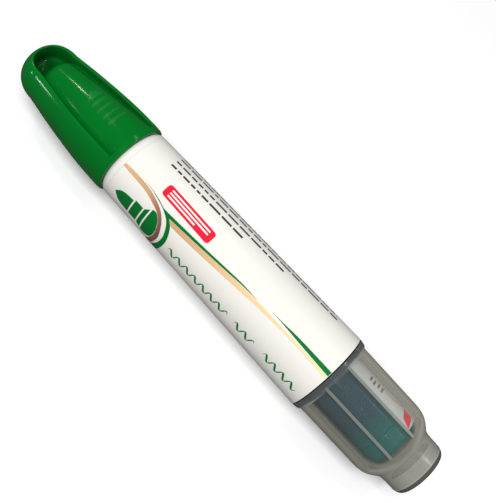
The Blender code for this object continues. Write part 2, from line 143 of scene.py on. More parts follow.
def station(tree, x_from, x_to):
    """Share of the way between two stations along the pen, in millimetres."""
    place = add_node(tree, "ShaderNodeTexCoord").outputs["Object"]
    x = add_node(tree, "ShaderNodeSeparateXYZ", {"Vector": place}).outputs["X"]
    return span(tree, x, x_from * MM, x_to * MM)


def drifting(tree, factor, drift, spread):
    """Adds a little noise to a ramp's factor, so that its colours wander."""
    wander = span(tree, drift, 0.3, 0.7, -spread, spread)
    return add_node(tree, "ShaderNodeMath", {0: factor, 1: wander}, operation="ADD").outputs[0]


def relief(tree, shader, height, strength):
    """Links a height to the shader as a shallow bump."""
    made = add_node(tree, "ShaderNodeBump", {"Height": height, "Strength": strength, "Distance": 0.00005})
    tree.links.new(made.outputs["Normal"], shader.inputs["Normal"])


def plastic(name, colour, roughness, grain=9000.0, bump=0.02, spread=0.04, specular=0.5):
    """Moulded plastic: slow colour drift, faint flow marks in the gloss and a fine surface grain."""
    look, tree, shader = new_material(name)
    drift = noise(tree, 160.0, 2.0, (0.5, 1.0, 1.0))
    colours = ramp(tree, drift, [(0.3, tint(colour, 1 - spread)), (0.7, tint(colour, 1 + spread))])
    tree.links.new(colours, shader.inputs["Base Color"])
    marks = noise(tree, 700.0, 4.0, (0.25, 1.0, 1.0))
    tree.links.new(span(tree, marks, 0.3, 0.7, roughness * 0.85, roughness * 1.2), shader.inputs["Roughness"])
    relief(tree, shader, noise(tree, grain, 2.0), bump)
    shader.inputs["Specular IOR Level"].default_value = specular
    return look


def paint_axis_shade(look, r_from, r_to, least):
    """Paints shade into a look's colour toward the pen's axis, standing in for the shade down in a recess."""
    tree = look.node_tree
    base = tree.nodes["Principled BSDF"].inputs["Base Color"]
    colours = base.links[0].from_socket
    place = add_node(tree, "ShaderNodeTexCoord").outputs["Object"]
    kind = "ShaderNodeVectorMath"
    lowered = add_node(tree, kind, {0: place, 1: (0.0, 0.0, AXIS_Z)}, operation="SUBTRACT")
    radial = add_node(tree, kind, {0: lowered.outputs[0], 1: (0.0, 1.0, 1.0)}, operation="MULTIPLY")
    radius = add_node(tree, kind, {0: radial.outputs[0]}, operation="LENGTH").outputs["Value"]
    share = span(tree, radius, r_from * MM, r_to * MM, least, 1.0)
    shaded_colours = add_node(tree, kind, {0: colours, "Scale": share}, operation="SCALE")
    tree.links.new(shaded_colours.outputs[0], base)


def see_through(name, stops, roughness, alpha_face, alpha_edge, spread=0.02, veil=((0.0, 0.0), (1.0, 0.0))):
    """Thin translucent plastic: clearer face on, milkier at a slant, and veiled along the tail."""
    look, tree, shader = new_material(name)
    drift = noise(tree, 260.0, 3.0)
    along = station(tree, 34.0, 64.0)
    colours = ramp(tree, drifting(tree, along, drift, spread), stops)
    tree.links.new(colours, shader.inputs["Base Color"])
    facing = add_node(tree, "ShaderNodeLayerWeight", {"Blend": 0.5}).outputs["Facing"]
    slants = ((0.0, alpha_face), (0.37, 2 * alpha_face), (0.57, 0.9 * alpha_edge), (1.0, alpha_edge))
    slanted, veiled = (ramp(tree, factor, [(place, (share,) * 3) for place, share in curve])
                       for factor, curve in ((facing, slants), (along, veil)))
    milky = add_node(tree, "ShaderNodeMath", {0: slanted, 1: veiled}, operation="ADD").outputs[0]
    haze = span(tree, noise(tree, 500.0, 3.0, (0.3, 1.0, 1.0)), 0.3, 0.7, 0.93, 1.07)
    alpha = add_node(tree, "ShaderNodeMath", {0: milky, 1: haze}, operation="MULTIPLY", use_clamp=True)
    tree.links.new(alpha.outputs[0], shader.inputs["Alpha"])
    fine = noise(tree, 4000.0, 2.0)
    tree.links.new(span(tree, fine, 0.3, 0.7, roughness * 0.85, roughness * 1.15), shader.inputs["Roughness"])
    relief(tree, shader, fine, 0.01)
    return look


def label_film():
    """White printed film: faint wrinkles along the pen and a few grey specks."""
    look, tree, shader = new_material("label_film_print")
    specks = noise(tree, 900.0, 5.0)
    stops = [(0.0, (0.35, 0.35, 0.33)), (0.235, (0.80, 0.785, 0.735)), (1.0, (0.815, 0.80, 0.75))]
    tree.links.new(ramp(tree, specks, stops), shader.inputs["Base Color"])
    smears = noise(tree, 350.0, 3.0)
    tree.links.new(span(tree, smears, 0.3, 0.7, 0.26, 0.34), shader.inputs["Roughness"])
    relief(tree, shader, noise(tree, 420.0, 3.0, (0.2, 1.0, 1.0)), 0.06)
    return look


def printed(name, stops, x_from=X_LABEL_START, x_to=X_LABEL_END):
    """Printing ink whose colour runs along the pen, with a halftone-fine mottle."""
    look, tree, shader = new_material(name)
    mottle = noise(tree, 5000.0, 2.0)
    factor = drifting(tree, station(tree, x_from, x_to), mottle, 0.03)
    tree.links.new(ramp(tree, factor, stops), shader.inputs["Base Color"])
    tree.links.new(span(tree, noise(tree, 800.0), 0.3, 0.7, 0.28, 0.38), shader.inputs["Roughness"])
    shader.inputs["Specular IOR Level"].default_value = 0.25
    return look


# ---------------------------------------------------------------- mesh making

def add_piece(name, points, faces, look, node, stands_for=(), sharp_deg=CREASE_DEG):
    """Makes a piece from millimetre points about the pen's axis; it rides with the CAD node it belongs to."""
    mesh = bpy.data.meshes.new(name)
    lifted = [(x * MM, y * MM, z * MM + AXIS_Z) for x, y, z in points]
    mesh.from_pydata(lifted, [], faces)
    bm = bmesh.new()
    bm.from_mesh(mesh)
    bmesh.ops.remove_doubles(bm, verts=bm.verts, dist=1e-7)
    bmesh.ops.recalc_face_normals(bm, faces=bm.faces)
    bm.to_mesh(mesh)
    bm.free()
    mesh.shade_smooth()
    mesh.set_sharp_from_angle(angle=math.radians(sharp_deg))
    mesh.materials.append(look)
    piece = bpy.data.objects.new(name, mesh)
    bpy.context.scene.collection.objects.link(piece)
    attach(piece, BODY_OF[node])
    if stands_for:
        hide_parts(*stands_for)
    return piece


def polar(x, r, azimuth):
    """Point at a station, radius and azimuth in radians."""
    return (x, r * math.sin(azimuth), r * math.cos(azimuth))


def rounded(outline, closed, pieces=4):
    """Replaces each corner (x, r, fillet) of an outline by an arc of about that radius."""
    made = []
    count = len(outline)
    for i, corner in enumerate(outline):
        here = Vector(corner[:2])
        fillet = corner[2] if len(corner) > 2 else 0.0
        if fillet <= 0 or (not closed and i in (0, count - 1)):
            made.append(tuple(here))
            continue
        before = Vector(outline[i - 1][:2]) - here
        after = Vector(outline[(i + 1) % count][:2]) - here
        cut = min(fillet, before.length * 0.48, after.length * 0.48)
        start, end = here + before.normalized() * cut, here + after.normalized() * cut
        for k in range(pieces + 1):
            t = k / pieces
            made.append(tuple(start * (1 - t) ** 2 + here * 2 * t * (1 - t) + end * t**2))
    return made


def lathe(name, outline, look, node, stands_for=(), fit=1.0, steps=STEPS, sharp_deg=CREASE_DEG):
    """Turns an outline of (x, r, fillet) corners about the axis; one that starts on the axis is solid."""
    on_axis = outline[0][1] == 0
    profile = rounded(outline, closed=not on_axis)
    points, faces, rings = [], [], []
    for x, r in profile:
        if r < 1e-6:
            rings.append([len(points)] * steps)
            points.append((x, 0.0, 0.0))
        else:
            rings.append(list(range(len(points), len(points) + steps)))
            points += [polar(x, r * fit, 2 * math.pi * k / steps) for k in range(steps)]
    pairs = list(zip(rings, rings[1:]))
    if not on_axis:
        pairs.append((rings[-1], rings[0]))
    for a, b in pairs:
        for k in range(steps):
            m = (k + 1) % steps
            corners = [a[k], a[m], b[m], b[k]]
            face = [v for i, v in enumerate(corners) if v not in corners[:i]]
            if len(face) > 2:
                faces.append(face)
    return add_piece(name, points, faces, look, node, stands_for, sharp_deg)


def ease(points, count):
    """Catmull-Rom curve through points, as count + 1 samples."""
    keys = np.array([points[0], *points, points[-1]], float)
    made = []
    for i in range(count + 1):
        t = i / count * (len(points) - 1)
        k = min(int(t), len(points) - 2)
        u = t - k
        a, b, c, d = keys[k:k + 4]
        square, cube = 2 * a - 5 * b + 4 * c - d, 3 * b - a - 3 * c + d
        made.append(0.5 * (2 * b + (c - a) * u + square * u**2 + cube * u**3))
    return made


# ---------------------------------------------------------------- surface nets, for the cap

def smooth_max(a, b, k):
    """Greater of two fields, with the corner between them rounded over about k."""
    h = np.maximum(k - np.abs(a - b), 0) / k
    return np.maximum(a, b) + h * h * k / 4


def smooth_min(a, b, k):
    """Lesser of two fields, rounded over in the same way."""
    return -smooth_max(-a, -b, k)


def surface_net(field, low, high, step):
    """Meshes the zero surface of a field, negative inside, on a grid; points are pulled onto the surface."""
    axes = [np.arange(low[i], high[i] + step[i] / 2, step[i]) for i in range(3)]
    values = field(*np.meshgrid(*axes, indexing="ij"))
    inside = values < 0
    cells = tuple(s - 1 for s in inside.shape)
    total, hits = np.zeros(cells + (3,)), np.zeros(cells)
    window = [slice(0, -1), slice(1, None)]
    for axis in range(3):
        others = [i for i in range(3) if i != axis]
        for p in (0, 1):
            for q in (0, 1):
                start, end = [None] * 3, [None] * 3
                start[axis], end[axis] = window
                start[others[0]] = end[others[0]] = window[p]
                start[others[1]] = end[others[1]] = window[q]
                va, vb = values[tuple(start)], values[tuple(end)]
                crossed = (va < 0) != (vb < 0)
                share = np.where(crossed, va / np.where(crossed, va - vb, 1.0), 0.0)
                total[..., axis] += share
                total[..., others[0]] += crossed * p
                total[..., others[1]] += crossed * q
                hits += crossed
    active = hits > 0
    number = -np.ones(cells, int)
    number[active] = np.arange(active.sum())
    where = np.argwhere(active)
    points = (where + total[active] / hits[active][:, None]) * np.array(step) + np.array(low)
    for _ in range(4):
        points = pull(field, points)
    faces = []
    for axis in range(3):
        a, b = [i for i in range(3) if i != axis]
        core = [slice(1, -1)] * 3
        core[axis] = slice(0, -1)
        ahead = list(core)
        ahead[axis] = slice(1, None)
        first, second = inside[tuple(core)], inside[tuple(ahead)]
        for flip in (False, True):
            spots = np.argwhere(first & ~second if flip else ~first & second)
            spots[:, a] += 1
            spots[:, b] += 1
            quad = []
            for da, db in ((-1, -1), (0, -1), (0, 0), (-1, 0)):
                cell = spots.copy()
                cell[:, a] += da
                cell[:, b] += db
                quad.append(number[cell[:, 0], cell[:, 1], cell[:, 2]])
            faces.append(np.stack(quad[::-1] if flip else quad, 1))
    return points, np.concatenate(faces)


def gradient(field, points, h=0.004):
    """A field's slope at points, by central differences."""
    x, y, z = points.T
    return np.stack([field(x + h, y, z) - field(x - h, y, z), field(x, y + h, z) - field(x, y - h, z),
                     field(x, y, z + h) - field(x, y, z - h)], 1) / (2 * h)


def pull(field, points):
    """One Newton step toward the zero surface, at most a tenth of a millimetre long."""
    slope = gradient(field, points)
    length = np.maximum((slope**2).sum(1), 0.05)
    move = np.clip(-field(*points.T) / length, -0.1, 0.1)
    return points + slope * move[:, None]


# ---------------------------------------------------------------- cap

def flowing(x, stations, values):
    """Smooth curve through values at stations, straight past its ends."""
    stations, values = np.array(stations), np.array(values)
    slopes = np.gradient(values, stations)
    k = np.clip(np.searchsorted(stations, x) - 1, 0, len(stations) - 2)
    width = stations[k + 1] - stations[k]
    t = np.clip((x - stations[k]) / width, 0, 1)
    start, end = values[k], values[k + 1]
    curve = (start * (1 + 2 * t) * (1 - t) ** 2 + end * (3 - 2 * t) * t**2
             + width * (slopes[k] * t * (1 - t) ** 2 - slopes[k + 1] * (1 - t) * t**2))
    before, after = np.minimum(x - stations[0], 0), np.maximum(x - stations[-1], 0)
    return curve + before * slopes[0] + after * slopes[-1]


def hood_field(x, y, z):
    """Outside of the cap as a turned shape with a domed end."""
    stations, radii = zip(*OUTER_HOOD)
    r = np.hypot(y, z)
    limit = flowing(np.maximum(x, X_DOME), stations, radii) * FIT
    share = np.clip((X_DOME - x) / (X_DOME - X_CAP_END), 0, None)
    dome = ((share**DOME_POWER + (r / limit) ** DOME_POWER) ** (1 / DOME_POWER) - 1) * limit
    return np.where(x < X_DOME, dome, r - limit)


def sheath_field(x, y, z, inset=0.0):
    """Distance, near enough, to the sheath's squared ovals, closed by a rounded nose."""
    stations, half_y, half_z, squareness = zip(*SHEATH)
    power = flowing(x, stations, squareness)
    a = flowing(x, stations, half_y) - inset
    b = flowing(x, stations, half_z) - inset
    nose = stations[0] - X_NOSE - inset
    past = np.clip(stations[0] - x, 0, None) / nose
    shares = (np.abs(y) / a, np.abs(z) / b, past)
    f = sum(share**power for share in shares) ** (1 / power) + 1e-9
    slopes = [(share / f) ** (power - 1) / half for share, half in zip(shares, (a, b, nose))]
    return (f - 1) / (np.sqrt(sum(slope**2 for slope in slopes)) + 1e-9)


def cap_field(x, y, z):
    """The hood, cut open above and below and with an end pocket, joined to the hollow sheath."""
    hood = hood_field(x, y, z)
    cap = smooth_max(hood, x - X_MOUTH, 0.5)
    share = (x - X_GROOVE_START) / (X_CAP_END - X_GROOVE_START)
    rim = RIM_AT_MOUTH + share * (RIM_AT_END - RIM_AT_MOUTH)
    cut = smooth_max(rim - np.abs(z), x - X_GROOVE_START, 0.5)
    cap = smooth_max(cap, -cut, 0.45)
    stations, halves = zip(*POCKET)
    past = np.clip((stations[0] - x) / (stations[0] - X_POCKET_END), 0, None)
    rounding = (past**POCKET_POWER + (np.abs(y) / halves[0]) ** POCKET_POWER) ** (1 / POCKET_POWER)
    straight = np.abs(y) - flowing(x, stations, halves)
    pocket = np.where(x < stations[0], (rounding - 1) * halves[0], straight)
    pocket = smooth_max(pocket, x - X_GROOVE_START, 0.5)
    pocket = smooth_max(pocket, POCKET_FLOOR / 2 - np.abs(z), 1.0)
    cap = smooth_max(cap, -pocket, 0.3)
    sheath = smooth_max(sheath_field(x, y, z), x - X_MOUTH, 0.5)
    cap = smooth_min(cap, sheath, 0.6)
    cap = smooth_max(cap, hood, 0.2)
    hollow = smooth_max(sheath_field(x, y, z, SHEATH_WALL), x - X_MOUTH, 0.1)
    mouth = np.maximum(np.hypot(y, z) - R_MOUTH_BORE, X_MOUTH - MOUTH_DEPTH - x)
    return smooth_max(smooth_max(cap, -hollow, 0.2), -mouth, 0.2)


def shade_by_field(piece, field):
    """Gives a mesh the exact normals of the field that it was made from."""
    mesh = piece.data
    places = np.empty(len(mesh.vertices) * 3, np.float32)
    mesh.vertices.foreach_get("co", places)
    points = places.reshape(-1, 3).astype(float) / MM
    points[:, 2] -= AXIS_Z / MM
    normals = gradient(field, points)
    normals /= np.linalg.norm(normals, axis=1)[:, None]
    mesh.normals_split_custom_set_from_vertices(normals.tolist())


def make_cap(look, grip_painted_lighter):
    """The cap as one mesh, with the grip marks on it."""
    low = (X_CAP_END - 0.5, -10.3, -10.3)
    high = (X_MOUTH + 0.5, 10.3, 10.3)
    points, faces = surface_net(cap_field, low, high, (0.26, 0.205, 0.205))
    cap = add_piece("green_cap", points.tolist(), faces.tolist(), look, "cap_shell", ["cap_shell"],
                    sharp_deg=180.0)  # no sharp edges, so that the field's normals hold all over
    shade_by_field(cap, cap_field)
    make_grip_marks(grip_painted_lighter)


GRIP_HEIGHT = 0.15


def make_grip_marks(look):
    """Arrowhead and four slanted bars, raised on the sheath where a thumb pushes."""
    slant, half_bar, soft_edge, sunk = 0.08, 0.42, 0.2, 0.02
    marks = [[(x - half_bar, x + half_bar, -2.45), (x - half_bar, x + half_bar, 2.6)]
             for x in (-43.4, -41.5, -39.55, -37.65)]
    marks.append([(-44.95, -44.6, -2.3), (-46.75, -44.6, 0.1), (-45.0, -44.6, 2.6)])
    along, across = 12, 60
    points, faces = [], []
    for mark in marks:
        ys = np.linspace(mark[0][2], mark[-1][2], across + 1)
        keys = [key[2] for key in mark]
        starts = np.interp(ys, keys, [key[0] for key in mark])
        ends = np.interp(ys, keys, [key[1] for key in mark])
        v, u = np.meshgrid(np.linspace(0, 1, along + 1), np.arange(across + 1))
        x = starts[u] + (ends - starts)[u] * v + slant * -ys[u]
        y = ys[u]
        inward = np.minimum(np.minimum(x - starts[u] + slant * y, ends[u] - slant * y - x),
                            np.minimum(y - ys[0], ys[-1] - y))
        share = np.clip(inward / soft_edge, 0, 1)
        height = GRIP_HEIGHT * (3 - 2 * share) * share**2 - sunk
        on_top = np.stack([x.ravel(), y.ravel(), np.full(x.size, 8.0)], 1)
        for _ in range(60):
            on_top = pull(sheath_field, on_top)
        normals = gradient(sheath_field, on_top)
        normals /= np.linalg.norm(normals, axis=1)[:, None]
        raised = on_top + normals * height.ravel()[:, None]
        first = len(points)
        points += raised.tolist()
        for i in range(across):
            for j in range(along):
                a = first + i * (along + 1) + j
                faces.append([a, a + 1, a + along + 2, a + along + 1])
    add_piece("grip_marks", points, faces, look, "cap_shell", sharp_deg=60.0)


# ---------------------------------------------------------------- turned pieces

def label_radius(x):
    """Radius of the label, which widens evenly toward the tail."""
    share = (x - X_LABEL_START) / (X_LABEL_END - X_LABEL_START)
    return R_LABEL_START + share * (R_LABEL_END - R_LABEL_START)


def make_barrel(white, film):
    """The white barrel and the printed film round it."""
    front = X_BARREL_FRONT
    start = X_LABEL_START - 0.02
    r_start = label_radius(start)
    lathe("white_barrel", [(front, 5.4, 0.1), (front, 8.1, 0.25), (-30.62, 8.62, 0.3), (-30.1, 8.98, 0.4),
                           (-29.6, r_start - 0.03, 0.2), (start, r_start - 0.02), (start, r_start - 0.3),
                           (X_LABEL_END, R_LABEL_END - 0.3, 0.05), (X_LABEL_END, 9.35, 0.1), (27.0, 9.35),
                           (26.2, 8.55), (front + FRONT_WALL, 7.75, 0.2), (front + FRONT_WALL, 5.4, 0.1)],
          white, "front_barrel", ["front_barrel"], fit=FIT)
    lathe("printed_label", [(X_LABEL_START, R_LABEL_START, 0.05), (X_LABEL_END, R_LABEL_END, 0.05),
                            (X_LABEL_END, R_LABEL_END - 0.15), (X_LABEL_START, R_LABEL_START - 0.15)],
          film, "label_sleeve", ["label_sleeve"], fit=FIT)


# ---------------------------------------------------------------- printing on the label

ART_AZIMUTH = -28.0  # the printed face's middle line
PRINT_LIFT, PRINT_THICKNESS = 0.004, 0.016
DEGREE = math.radians(R_LABEL_START + 0.6)  # millimetres of arc in a degree, halfway along the label


def patch(edge_a, edge_b, samples=64, across=6):
    """A printed shape between two edges, each a list of (x, azimuth from the middle line)."""
    return ease(edge_a, samples), ease(edge_b, samples), across


def print_ink(name, patches, look, radius=None, node="label_sleeve", middle=ART_AZIMUTH):
    """Lays a very thin layer of ink for each patch, wrapped on the label."""
    radius = radius or (lambda x: label_radius(x) * FIT)
    points, faces = [], []
    for edge_a, edge_b, across in patches:
        layers = []
        for lift in (PRINT_LIFT, PRINT_LIFT + PRINT_THICKNESS):
            layer = []
            for a, b in zip(edge_a, edge_b):
                row = []
                for k in range(across + 1):
                    x, azimuth = a + (b - a) * k / across
                    row.append(len(points))
                    points.append(polar(x, radius(x) + lift, math.radians(middle + azimuth)))
                layer.append(row)
            layers.append(layer)
        low, top = layers
        last = len(top) - 1
        for i in range(last):
            for k in range(across):
                faces.append([top[i][k], top[i][k + 1], top[i + 1][k + 1], top[i + 1][k]])
                faces.append([low[i][k], low[i + 1][k], low[i + 1][k + 1], low[i][k + 1]])
            for k in (0, across):
                faces.append([low[i][k], low[i + 1][k], top[i + 1][k], top[i][k]])
        for i in (0, last):
            for k in range(across):
                faces.append([low[i][k], low[i][k + 1], top[i][k + 1], top[i][k]])
    return add_piece(name, points, faces, look, node, sharp_deg=60.0)


def make_art():
    """The swooshes, stripes and pen-tip figure; returns their green ink."""
    green = printed("print_green", [(0.0, (0.0, 0.155, 0.022)), (1.0, (0.0, 0.17, 0.025))])
    tan = printed("print_tan", [(0.0, (0.62, 0.38, 0.2)), (0.3, (0.60, 0.36, 0.19)),
                                (0.65, (0.83, 0.6, 0.33)), (1.0, (0.9, 0.72, 0.42))])
    brown = printed("print_tan_to_brown", [(0.0, (0.66, 0.42, 0.22)), (0.5, (0.58, 0.34, 0.18)),
                                           (0.72, (0.36, 0.17, 0.1)), (1.0, (0.17, 0.075, 0.05))],
                    X_LABEL_START, -12.5)
    print_ink("swoosh_tan", [patch(
        [(X_LABEL_START, -7), (-25.5, -5.9), (-21.6, -6.4), (-18.6, -9.9), (-15.6, -17), (-13.6, -28.8),
         (-12.5, -45), (-12.6, -57), (-13.3, -72), (-14.4, -86)],
        [(X_LABEL_START, -11.8), (-25.5, -12.3), (-21.6, -13.2), (-18.6, -16.8), (-15.8, -23), (-14.2, -34),
         (-13.65, -47), (-13.8, -57), (-14.5, -69), (-15.6, -82)])], brown)
    print_ink("swoosh_green", [patch(
        [(-22.4, -4.5), (-20.5, -5), (-17.8, -7.4), (-15.6, -11), (-13.2, -14.4), (-11.6, -23.5),
         (-10.6, -36), (-10.4, -50), (-11.1, -70), (-12.2, -86)],
        [(-22.4, -4.6), (-20.5, -5.5), (-17.8, -8.7), (-15.6, -12.6), (-13.5, -19.4), (-12.3, -28.5),
         (-11.6, -41), (-11.8, -55), (-12.7, -69), (-14.0, -84)])], green)
    print_ink("stripe_green", [patch(
        [(-15.6, -11), (-13.6, -10.6), (-11, -9.7), (-6.7, -8.2), (-1.9, -6.3), (3.8, -3.8), (8.0, -2.3),
         (12.4, -2.6)],
        [(-14.5, -15.4), (-13.4, -15.2), (-11, -14.1), (-6.7, -12.1), (-1.9, -9.6), (3.8, -6.6), (8.0, -4.2),
         (12.4, -2.8)])], green)
    print_ink("stripe_tan", [patch(
        [(-13.2, -15.3), (-11, -14.3), (-6.7, -12.3), (-1.9, -9.8), (3.8, -7), (8.0, -4.8), (14.1, -3.3),
         (21, -3.2), (27, -2.6), (34.1, -3.2)],
        [(-12.0, -20.6), (-11, -20.9), (-6.7, -19.3), (-1.9, -17), (3.8, -13.9), (8.0, -11.8), (14.1, -8.9),
         (21, -6.9), (27, -6.5), (34.1, -7.3)])], tan)
    print_ink("stroke_green", [patch(
        [(16.6, 1.2), (19.6, 1.6), (22.3, 2.6), (26.2, 3.3), (34.1, 3.4)],
        [(16.6, 1.0), (19.6, 0.3), (22.3, -0.4), (26.2, -1.3), (34.1, -2.9)])], green)
    print_ink("pen_tip_mark", [
        patch([(-26.5, -48), (-25.5, -41.3), (-24.2, -37.7), (-21.7, -35.8)],
              [(-26.5, -49), (-25.7, -54.6), (-24.6, -59.8), (-21.8, -62.3)], 24, 12),
        patch([(-21.25, -32.8), (-18.95, -33.1)], [(-21.4, -62.2), (-19.1, -62.6)], 12, 14),
        patch([(-18.6, -32.5), (-17.5, -26)], [(-18.7, -62), (-17.6, -67.5)], 12, 16),
        patch([(-17.1, -23.3), (-16.0, -22.9), (-15.0, -27.6), (-14.3, -33.8), (-13.8, -42)],
              [(-17.2, -68.5), (-16.2, -70), (-15.2, -68), (-14.2, -62), (-13.72, -51)], 32, 18)], green)
    return green


def bar(x_from, x_to, low, high):
    """A patch that is a plain bar along the pen."""
    samples = max(1, round(x_to - x_from))
    return patch([(x_from, high), (x_to, high)], [(x_from, low), (x_to, low)], samples, 2)


def make_small_print():
    """Rows of plain word-length bars, which stand in for the care notes."""
    black = printed("print_black", [(0.0, (0.05, 0.05, 0.046)), (1.0, (0.06, 0.06, 0.055))])
    rng = random.Random(4)
    rows = ((38.4, 0.6), (50.6, 11.8), (62.8, 27.4), (75.0, 27.0), (87.2, 18.5))
    bars = []
    for base, x_end in rows:
        x = -22.0
        while x < x_end:
            width = rng.uniform(0.9, 3.6)
            bars.append(bar(x, min(x + width, x_end), base, base + 3.6))
            x += width + 0.5
    print_ink("small_print_bars", bars, black)


def make_badge():
    """A plain red panel with round corners and three ruled lines."""
    red = printed("print_red", [(0.0, (0.72, 0.012, 0.035)), (1.0, (0.80, 0.02, 0.05))])
    white = printed("print_white", [(0.0, (0.82, 0.79, 0.76)), (1.0, (0.84, 0.81, 0.78))])
    x_from, x_to, middle, half, corner = -18.5, -3.5, 9.4, 9.2, 0.8
    upper, lower = [], []
    for i in range(25):
        x = x_from + (x_to - x_from) * (0.5 - 0.5 * math.cos(math.pi * i / 24))
        edge = max(corner - (x - x_from), corner - (x_to - x), 0.0) / corner
        inset = (1 - math.sqrt(1 - min(1.0, edge) ** 2)) * corner / DEGREE
        tilt = -0.16 * (x - x_from)
        upper.append((x, middle + half - inset + tilt))
        lower.append((x, middle - half + inset + tilt))
    print_ink("red_panel", [patch(upper, lower, 72, 10)], red)
    lines = []
    for offset, end in ((4.6, -4.9), (0.0, -4.9), (-4.6, -8.4)):
        start = x_from + 1.4
        centres = [(start, middle + offset - 0.22), (end, middle + offset - 0.16 * (end - x_from))]
        lines.append(patch([(x, a + 1.15) for x, a in centres], [(x, a - 1.15) for x, a in centres], 12, 4))
    print_ink("panel_lines", lines, white, radius=lambda x: label_radius(x) * FIT + PRINT_THICKNESS)


def pen_stroke(path):
    """A stroke along (x, azimuth) points, thick and thin as from a slanted chisel tip."""
    spots = np.array(path) * (1.0, DEGREE)
    ways = np.gradient(spots, axis=0)
    ways /= np.linalg.norm(ways, axis=1)[:, None] + 1e-9
    nib = np.array((math.cos(math.radians(35)), math.sin(math.radians(35))))
    across = np.abs(ways[:, 0] * nib[1] - ways[:, 1] * nib[0])
    ends = np.clip(np.minimum(np.arange(len(path)), np.arange(len(path))[::-1]) / 6, 0.15, 1)
    half = (0.09 + 0.17 * across) * ends
    side = np.stack([-ways[:, 1], ways[:, 0]], 1) * half[:, None]
    return (spots + side) / (1.0, DEGREE), (spots - side) / (1.0, DEGREE), 2


def make_flourish(look):
    """Three runs of even waves in the label's lower part, where the real pen has its script."""
    pitch = 2.6
    strokes = []
    for x_from, x_to, middle in ((-9.1, 10.3, -49.5), (12.4, 18.7, -49.0), (21.6, 32.1, -47.5)):
        x = np.arange(x_from, x_to + pitch / 52, pitch / 26)
        azimuth = middle + 4.6 * np.sin(2 * math.pi * (x - x_from) / pitch)
        strokes.append(pen_stroke(np.stack([x, azimuth], 1)))
    print_ink("wavy_flourish", strokes, look)


# ---------------------------------------------------------------- tail: shell, plug and cartridge

RIBS, RIB_HALF, R_RIBS, X_RIBS_START, X_RIBS_END = 8, 0.3, 7.95, 35.5, 56.0
SHELL_PROFILE = [(27.6, 8.6, 0.1), (34.5, 8.6), (34.5, 10.5, 0.15), (35.95, 10.24, 0.25), (36.4, 9.77, 0.15),
                 (53.9, 9.6, 1.0), (55.9, 9.2, 1.2), (57.5, 8.15, 1.2), (58.6, 7.25, 0.5), (59.3, 7.1, 0.1),
                 (59.4, 7.04, 0.05), (60.1, 7.04, 0.04), (60.1, 5.9), (58.5, 5.9, 0.3), (57.2, 7.0, 1.0),
                 (55.3, 8.05, 1.0), (53.4, 8.45, 1.0), (35.9, 8.57, 0.3), (35.3, 7.8, 0.2), (27.6, 7.8, 0.1)]


def make_ribs(look):
    """Webs inside the shell, with rounded inner edges and a raked end, each a closed body."""
    section = 7
    points, faces = [], []
    for k in range(RIBS):
        azimuth = 2 * math.pi * k / RIBS
        rings = []
        for x, r_edge in ((X_RIBS_START + 0.2, R_RIBS), (X_RIBS_END - 1.5, R_RIBS), (X_RIBS_END - 0.5, 8.25),
                          (X_RIBS_END - 0.1, 8.32)):
            ring = [(-RIB_HALF - 0.06, 8.6)]
            for i in range(section + 1):
                a = math.pi * i / section
                ring.append((-RIB_HALF * math.cos(a), r_edge + 0.25 * (1 - math.sin(a))))
            ring.append((RIB_HALF + 0.06, 8.6))
            rings.append([len(points) + i for i in range(len(ring))])
            for side, r in ring:
                points.append((x, side * math.cos(azimuth) + r * math.sin(azimuth),
                               r * math.cos(azimuth) - side * math.sin(azimuth)))
        for a, b in zip(rings, rings[1:]):
            for i in range(len(a)):
                j = (i + 1) % len(a)
                faces.append([a[i], a[j], b[j], b[i]])
        faces += [rings[0], rings[-1]]
    add_piece("shell_ribs", points, faces, look, "rear_shell")


def make_thread(name, x_start, turns, start_turn, r_root, r_crest, look, node):
    """Right-hand thread ridge that fades in and out, like the one in the CAD model."""
    pitch, width, per_turn = 2.4, 0.8, 64
    count = round(turns * per_turn)
    points, faces, rings = [], [], []
    for i in range(count + 1):
        angle = -2 * math.pi * (start_turn + i / per_turn)
        fade = min(1.0, i / (per_turn / 4), (count - i) / (per_turn / 4))
        crest = r_root + (r_crest - r_root) * (0.35 + 0.65 * fade)
        x = x_start + pitch * i / per_turn
        section = ((-width / 2, r_root), (-width / 4, crest), (width / 4, crest), (width / 2, r_root))
        rings.append([len(points) + j for j in range(4)])
        points += [polar(x + dx, r, angle) for dx, r in section]
    for a, b in zip(rings, rings[1:]):
        for i in range(4):
            j = (i + 1) % 4
            faces.append([a[i], a[j], b[j], b[i]])
    faces += [rings[0], rings[-1]]
    add_piece(name, points, faces, look, node, sharp_deg=30.0)


def make_tail(frosted, rib_look, plug_look, white):
    """The screw-off shell with its ribs, both threads and the end button."""
    lathe("frosted_shell", SHELL_PROFILE, frosted, "rear_shell", ["rear_shell"], fit=FIT)
    make_ribs(rib_look)
    make_thread("shell_thread", 28.2, 2.25, 0.5, 8.5, 9.1, frosted, "rear_shell")
    make_thread("barrel_thread", 30.6, 1.0, 0.0, 9.4, 8.88, white, "front_barrel")
    button = [(X_TAIL, 0.0), (X_TAIL, 6.35, 0.15), (63.85, 6.7, 0.35), (63.15, 6.94, 0.1),
              (60.12, 7.0, 0.04), (60.12, 5.6), (56.9, 5.6, 0.2), (56.9, 4.8, 0.2), (63.0, 4.6, 0.3),
              (63.0, 0.0)]
    lathe("tail_button", button, plug_look, "tail_plug", ["tail_plug"], fit=FIT)


X_CARTRIDGE_END = 56.2
STICKER_FROM, STICKER_TO, STICKER_START, STICKER_END, R_STICKER = 6.0, 150.0, 35.8, 54.6, 7.45


